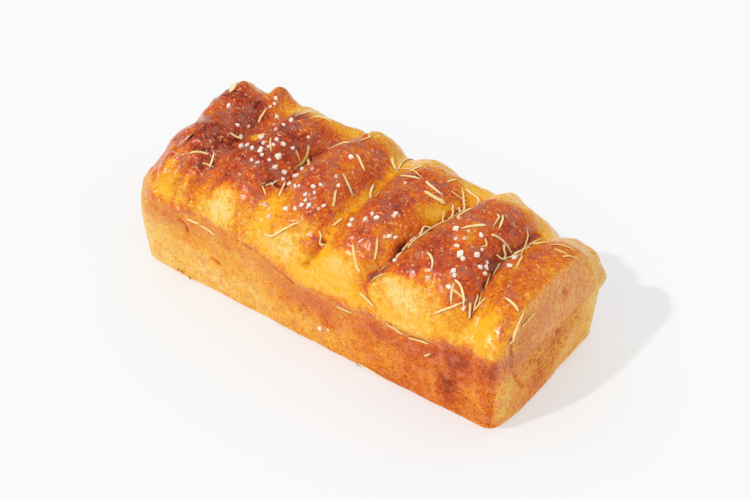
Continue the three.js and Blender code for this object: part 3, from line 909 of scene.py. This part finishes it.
def middle_line(node):
    """Four points along a plain needle's middle, seen from above."""
    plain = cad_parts[node].data
    corners = np.array([vertex.co[:2] for vertex in plain.vertices]) / MM
    centre = corners.mean(axis=0)
    _, _, axes = np.linalg.svd(corners - centre, full_matrices=False)
    along = (corners - centre) @ axes[0]
    stations = np.linspace(along.min(), along.max(), 4)
    reach = (stations[1] - stations[0]) / 2
    return [corners[np.abs(along - station) <= reach].mean(axis=0) for station in stations]


chance = random.Random(11)
plain_needles = sorted(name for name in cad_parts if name.startswith("rosemary_needle"))
for node in plain_needles:
    number = node.rsplit("_", 1)[1]
    width = NEEDLE_WIDTH * chance.uniform(0.85, 1.2)
    tint = chance.uniform(0, 0.6)
    roll = chance.uniform(-0.4, 0.4)
    piece = build_needle("needle_" + number, middle_line(node), width, tint, roll)
    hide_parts(node)

# More needles, pressed into the grooves and fallen on the rim: points along each, its width
# against a usual needle's, and how toasted it is. Points with a height lie on a wall.
MORE_NEEDLES = [
    ([(-65, -39, 36), (-61, -38.5, 36), (-58, -38, 36)], 0.8, 0.1),
    ([(-57.5, -38, 36), (-52, -39, 36.5), (-48, -39, 36)], 0.8, 0.0),
    ([(16, -39, 30.4), (24, -39, 30)], 0.9, 0.0),
    ([(26, -38, 41), (30, -38, 39.5), (34, -38, 37)], 0.9, 0.1),
    ([(41, -38, 35), (46, -39, 34), (52, -39, 33)], 0.9, 0.4),
    ([(52, -39, 32.5), (57, -39, 34), (62, -39, 34.5)], 1.1, 0.0),
    ([(60, -39, 27), (63, -39, 30)], 0.6, 0.1),
    ([(95, -31, 46), (94, -26, 51), (93, -19, 55)], 1.0, 0.6),
    ([(96, -24, 50), (96, -19, 51), (96, -14, 51)], 0.9, 0.7),
    ([(-67.5, -24.5), (-63, -22)], 0.6, 0.5),
    ([(-82, -23), (-80, -20), (-78, -15)], 0.8, 1.3),
    ([(-48, 15), (-47, 24)], 0.8, 0.2),
    ([(-14, 22), (-17, 30), (-13, 34)], 0.7, 0.2),
    ([(11, -6), (8, 2)], 0.6, 0.3),
    ([(-36, 0), (-32, -2)], 0.8, 0.5),
    ([(-47, -3), (-44, -7), (-41, -10)], 0.7, 0.1),
    ([(-48, -7), (-46, -6)], 0.7, 0.3),
    ([(-57, -3), (-50, -1)], 0.5, 0.3),
    ([(-35, -24), (-31, -26)], 0.6, 0.4),
    ([(-34, -23), (-32, -16)], 0.6, 0.4),
    ([(-1, -29), (4, -31)], 0.7, 0.4),
    ([(29, -34), (34, -31)], 0.9, 0.2),
    ([(26, -33), (30, -30), (34, -26)], 0.5, 1.25),
    ([(5, 17), (2, 26), (2, 35)], 0.9, 0.1),
    ([(2, 19), (12, 17), (22, 12)], 0.6, 0.3),
    ([(29, 19), (30, 25)], 0.8, 0.3),
    ([(34.8, -25.2), (35.7, -21.8)], 0.8, 0.1),
    ([(33.4, -23), (35.7, -21)], 0.7, 0.1),
    ([(33.4, -18.8), (34, -14.6)], 0.9, 0.5),
    ([(33.6, -14.2), (34.4, -10.2)], 0.8, 0.1),
    ([(35.4, -10.4), (36.4, -6.6), (38, -3), (41, -1.2), (44.6, -1.4)], 1.25, 0.0),
    ([(34.6, -9), (34.4, -5), (36.6, -1.6)], 0.8, 0.05),
    ([(40.0, 2.6), (43, 5), (47, 7.4)], 1.0, 0.05),
    ([(36.6, 12.4), (38.4, 9.1), (38.9, 4)], 0.8, 0.1),
    ([(36, 7), (37.4, 3.8), (39.6, 2.6)], 0.7, 0.3),
    ([(38.2, 14.4), (41.4, 11)], 0.9, 0.1),
    ([(40, 10), (43, 19)], 0.8, 0.3),
    ([(35, 24), (44, 20), (49, 11)], 0.9, 0.1),
    ([(33, 16), (40, 20)], 0.6, 0.5),
    ([(59, 11), (61, 9), (62, 3)], 0.8, 0.4),
    ([(63, -4), (65, -6), (64, -9)], 0.7, 0.5),
    ([(70, -3), (71.3, -10)], 0.6, 0.1),
    ([(68.6, -4.2), (70, -1.5), (70.8, 1.5)], 0.9, 0.1),
    ([(68.2, 2.2), (69.8, -0.5)], 0.8, 0.2),
    ([(71, 5), (74, 14)], 0.8, 0.2),
    ([(73, 10), (73, 19)], 0.9, 0.1),
    ([(72, 14), (75, 22)], 0.8, 0.2),
    ([(74, 6), (69, 19)], 0.5, 0.3),
    ([(75, 6), (77, -2)], 0.8, 0.1),
    ([(70, 0), (74, 7)], 0.7, 0.0),
    ([(73, 16), (79, 20)], 0.7, 0.1),
    ([(70, -10), (73, -18)], 0.6, 1.0),
    ([(72, -18), (75, -26)], 0.5, 0.9),
    ([(64, -27), (65, -30), (67, -33)], 0.9, 0.2),
    ([(65, -29), (71, -28)], 0.8, 0.6),
    ([(62, -36, 48), (66, -33, 51), (71, -29, 54)], 0.9, 0.1),
    ([(72, -27), (73, -29), (74, -31)], 0.9, 0.2),
    ([(74, -27), (76, -21)], 0.8, 0.4),
    ([(72, -22), (74, -28)], 0.7, 0.3),
    ([(89, 13), (91, 17), (94, 20)], 0.8, 0.6),
    ([(84, 15), (90, 16)], 0.6, 0.5),
]
for number, (points, broadness, tint) in enumerate(MORE_NEEDLES, 1):
    roll = chance.uniform(-0.5, 0.5)
    build_needle(f"small_needle_{number:02d}", points, NEEDLE_WIDTH * broadness, tint, roll)


# ---------------------------------------------------------------- salt crystals
# Coarse white salt, strewn with the rosemary. Each crystal is a broken block with flat
# faces and worn edges, and stands a little sunk in the glaze.
CRYSTAL_SHAPE = (1.0, 0.8, 0.7)
CRYSTAL_SINK = 0.22
CRYSTAL_TILT = 0.3
CORNER_BREAK = (0.34, 1.2)
BROKEN_FACES = 4
FACE_REACH = (0.42, 0.56)
EDGE_WEAR = 0.5
# A crystal's size against the longest side of the plain one that it stands for.
CRYSTAL_SHARE = 0.92

# The salt's warm emission is a painted glow, standing in for light scattered inside the crystals and
# lifting their shaded sides.
salt, salt_shader = new_finish(
    "coarse_salt", Roughness=0.3, Subsurface_Weight=1.0, Subsurface_Scale=0.002,
    Subsurface_Radius=(1, 0.95, 0.9), IOR=1.54, Emission_Color=(1, 0.9, 0.8, 1),
    Emission_Strength=0.08,
)
place = place_in(salt)
cloud = place.grain(1.0, 2, 0.6)
salt_colour = cloud.ramp([
    (0.32, colour(236, 190, 158)), (0.5, colour(252, 228, 208)), (0.68, colour(255, 250, 242)),
])
salt_colour.feed(salt_shader, "Base Color")
frost = place.grain(0.4, 2, 0.6)
salt_bump = place.node("Bump", {}, {"Strength": 0.4, "Distance": 0.0002, "Height": frost})
salt_bump.feed(salt_shader, "Normal")


def build_crystal(name, point, size, luck):
    """A broken salt block, sunk a little in the crust at a point."""
    ground, normal = drop_on_crust(point)
    turn = normal.to_track_quat("Z", "Y").to_matrix()
    spin = luck.uniform(0, math.tau)
    tilt_x = luck.uniform(-CRYSTAL_TILT, CRYSTAL_TILT)
    tilt_y = luck.uniform(-CRYSTAL_TILT, CRYSTAL_TILT)
    lean = Vector((tilt_x, tilt_y, 1)).normalized().to_track_quat("Z", "Y").to_matrix()
    lift = Vector((0, 0, CRYSTAL_SHAPE[2] / 2 - CRYSTAL_SINK))
    mesh = bpy.data.meshes.new(name)
    shaper = bmesh.new()
    for signs in product((-1, 1), repeat=3):
        halves = [sign * part / 2 for sign, part in zip(signs, CRYSTAL_SHAPE)]
        across, along, up = [half * luck.uniform(*CORNER_BREAK) for half in halves]
        flat = Vector((
            across * math.cos(spin) - along * math.sin(spin),
            across * math.sin(spin) + along * math.cos(spin),
            up,
        ))
        shaper.verts.new((ground + turn @ ((lean @ flat + lift) * size)) * MM)
    middle = sum((corner.co for corner in shaper.verts), Vector()) / len(shaper.verts)
    for face in range(BROKEN_FACES):
        way = Vector([luck.uniform(-1, 1) for axis in range(3)]).normalized()
        shaper.verts.new(middle + turn @ way * (luck.uniform(*FACE_REACH) * size * MM))
    bmesh.ops.convex_hull(shaper, input=shaper.verts[:])
    loose = [corner for corner in shaper.verts if not corner.link_faces]
    bmesh.ops.delete(shaper, geom=loose, context="VERTS")
    bmesh.ops.subdivide_edges(shaper, edges=shaper.edges[:], cuts=2, use_grid_fill=True)
    bmesh.ops.triangulate(shaper, faces=shaper.faces[:])
    bmesh.ops.smooth_vert(
        shaper, verts=shaper.verts[:], factor=EDGE_WEAR, use_axis_x=True, use_axis_y=True,
        use_axis_z=True,
    )
    shaper.to_mesh(mesh)
    shaper.free()
    mesh.materials.append(salt)
    crystal = bpy.data.objects.new(name, mesh)
    bpy.context.collection.objects.link(crystal)
    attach(crystal, "root")
    return crystal


chance = random.Random(23)
plain_crystals = sorted(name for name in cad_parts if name.startswith("salt_crystal"))
for node in plain_crystals:
    low, high = [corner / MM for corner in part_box(node)]
    middle = (low + high) / 2
    size = CRYSTAL_SHARE * max(high - low)
    number = node.rsplit("_", 1)[1]
    piece = build_crystal("crystal_" + number, (middle.x, middle.y), size, chance)
    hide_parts(node)

# More crystals: where each lies and its size.
MORE_CRYSTALS = [
    ((-67, 21), 1.8), ((-68, 0), 2.0), ((-48, 7), 2.0), ((-49, 3), 1.8), ((-44, -3), 2.2),
    ((-47, -8), 2.2), ((-49, -13), 2.2), ((-44, -8), 2.0), ((-43, -6), 1.8), ((-37, -1), 2.0),
    ((-43, -14), 2.0), ((-42, -18), 1.8), ((-39, -14), 1.8), ((-33, -12), 2.4), ((-33, -20), 1.8),
    ((-31, -15), 2.0), ((-25, -18), 2.2), ((-18, -20), 1.8), ((-10, -16), 1.8), ((-13, -22), 2.2),
    ((-10, -20), 1.8), ((-12, -24), 2.0), ((-12, -26), 2.2), ((-9, -26), 1.6), ((-4, -22), 2.2),
    ((-26, -8), 2.2), ((-10, 5), 2.6), ((-5, -11), 2.0), ((20, -18), 2.4), ((30, -19), 2.2),
    ((35, -26), 1.8), ((51, -7), 2.8), ((60, -17), 3.2), ((62, -18), 2.4), ((68, -15), 2.2),
    ((70, -14), 2.0), ((63, -25), 2.0), ((63, -29), 2.6), ((71, -30), 2.2), ((73, 3), 2.6),
    ((74, -2), 2.4), ((7, -39.5, 12.5), 2.4), ((11, -39.5, 14), 1.4), ((-67, 24), 1.8),
    ((-27, -12), 2.0), ((-18, -29), 2.8), ((-56, 3), 1.4), ((-64, -3), 1.8), ((10, -21), 2.2),
    ((17, -17), 2.0), ((25, -12), 2.2), ((65, -9), 1.8), ((68, -10), 1.8), ((54, -11), 1.8),
]
for number, (point, size) in enumerate(MORE_CRYSTALS, 1):
    build_crystal(f"small_crystal_{number:02d}", point, size, chance)


# ---------------------------------------------------------------- melted salt
# Crystals that drew water in the oven and sank into the glaze, where they set as low, cloudy
# lumps under its shiny skin.
LUMP_RINGS = 12
LUMP_SIDES = 14
LUMP_SHAPE = Vector((1, 0.85, 0.5))
LUMP_UNEVENNESS = 0.22
# Where each lump lies and its width.
MELTED = [
    ((-29, -29), 2.6), ((-25, -32), 2.8), ((25, -13), 2.4), ((57, -9), 2.6), ((54, -30), 2.6),
    ((-8, -8), 2.2), ((17, 6), 2.0), ((-19, -10), 2.2), ((-54, 8), 2.0), ((56, -5), 2.2),
    ((48, 0), 2.0), ((-36, 9), 2.0), ((-5, -24), 1.8), ((27, -22), 2.0), ((-66, 5), 2.0),
]

melted, melted_shader = new_finish(
    "melted_salt", Roughness=0.3, Subsurface_Weight=0.4, Subsurface_Scale=0.002, Coat_Weight=0.6,
    Coat_Roughness=0.15,
)
place = place_in(melted)
skin_tone = place.grain(0.8, 2, 0.6).ramp([
    (0.35, colour(226, 140, 92)), (0.5, colour(248, 192, 146)), (0.65, colour(255, 234, 212)),
])
skin_tone.feed(melted_shader, "Base Color")

# A ball one unit wide: its top, rings of corners from top to bottom, and its bottom.
ball = [Vector((0, 0, 0.5))]
for ring, step in product(range(1, LUMP_RINGS), range(LUMP_SIDES)):
    down = math.pi * ring / LUMP_RINGS
    around = math.tau * step / LUMP_SIDES
    across = math.sin(down) / 2
    ball.append(Vector((across * math.sin(around), across * math.cos(around), math.cos(down) / 2)))
ball.append(Vector((0, 0, -0.5)))
bottom = len(ball) - 1
last_ring = bottom - LUMP_SIDES
ball_faces = []
for k in range(LUMP_SIDES):
    after = (k + 1) % LUMP_SIDES
    ball_faces.append([0, 1 + after, 1 + k])
    for first in range(1, last_ring, LUMP_SIDES):
        below = first + LUMP_SIDES
        ball_faces.append([first + k, first + after, below + after, below + k])
    ball_faces.append([last_ring + k, last_ring + after, bottom])

for number, (point, width) in enumerate(MELTED, 1):
    ground, normal = drop_on_crust(point)
    turn = normal.to_track_quat("Z", "Y").to_matrix()
    name = f"melted_salt_{number:02d}"
    corners = []
    for corner in ball:
        lump_noise = noise.noise(corner * 2.2 + Vector((number * 3.1, 0, 0)))
        shape = corner * LUMP_SHAPE * (1 + LUMP_UNEVENNESS * lump_noise) * width
        corners.append(ground + turn @ shape)
    mesh = rounded_mesh(name, corners, ball_faces)
    mesh.materials.append(melted)
    lump = bpy.data.objects.new(name, mesh)
    bpy.context.collection.objects.link(lump)
    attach(lump, "root")


# ---------------------------------------------------------------- flakes
# Thin scraps of crust and leaf that stuck on in the oven: a pale husk high on the back left
# lobe, leaf scraps on the top and the rim, and flakes and burnt crumbs along the front foot.
FLAKE_SECTION = [
    (-0.5, 0), (-0.3, 0.5), (0, 0.7), (0.3, 0.5), (0.5, 0), (0.25, -0.3), (-0.25, -0.3),
]
# How far a flake's middle line lies above the crust, against its thickness.
FLAKE_HOVER = 0.3
# How wide a flake is at both ends against its middle, how fast it widens, how ragged it is.
FLAKE_END_SHARE = 0.25
FLAKE_START_GROWTH = 5
FLAKE_END_GROWTH = 4
RAGGEDNESS = 0.3
# Each flake's name, points along it, width, thickness and how toasted it is.
FLAKES = [
    ("pale_husk", [(-83.5, 14), (-85, 18), (-87.5, 23)], 3.4, 0.7, 0.0),
    ("leaf_scrap", [(26.5, 5.5), (31, 7), (35, 9.4)], 2.0, 0.5, 0.25),
    ("rim_scrap", [(44, -39, 34.5), (49, -39, 33)], 2.0, 0.4, 0.45),
    ("foot_flake_left", [(26, -39.5, 2.6), (32, -39.8, 2.2), (37, -39.6, 1.4)], 1.8, 0.6, 0.0),
    ("foot_flake_right", [(36, -39.4, 2.0), (41, -39.2, 1.2)], 1.2, 0.5, 0.3),
    ("foot_crumb_left", [(-73.5, -39, 3.6), (-70, -39.4, 3.9)], 1.0, 0.6, 1.5),
    ("foot_splinter", [(-66.4, -39, 3.4), (-66.2, -39.6, 0.8)], 0.9, 0.7, 1.2),
    ("foot_crumb_right", [(25, -39.4, 0.9), (27.4, -39.6, 0.7)], 0.9, 0.6, 1.5),
]

for name, points, width, thickness, tint in FLAKES:
    spine, up = lay_line(points, FLAKE_HOVER * thickness)
    side, _ = sides_of(spine, up)
    corners = []
    edges = []
    for ring in range(NEEDLE_RINGS):
        t = ring / (NEEDLE_RINGS - 1)
        opening = FLAKE_END_SHARE + FLAKE_START_GROWTH * t
        closing = FLAKE_END_SHARE + FLAKE_END_GROWTH * (1 - t)
        ragged = 1 + RAGGEDNESS * noise.noise(Vector((t * 6, len(name), 0)))
        girth = width * ragged * min(1, opening, closing)
        for across, rise in FLAKE_SECTION:
            corners.append(spine[ring] + girth * across * side[ring] + thickness * rise * up)
            edges.append(float(abs(across) > EDGE_FROM))
    mesh = strip_mesh(name, corners, len(FLAKE_SECTION), edges, tint)
    flake = bpy.data.objects.new(name, mesh)
    bpy.context.collection.objects.link(flake)
    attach(flake, "root")
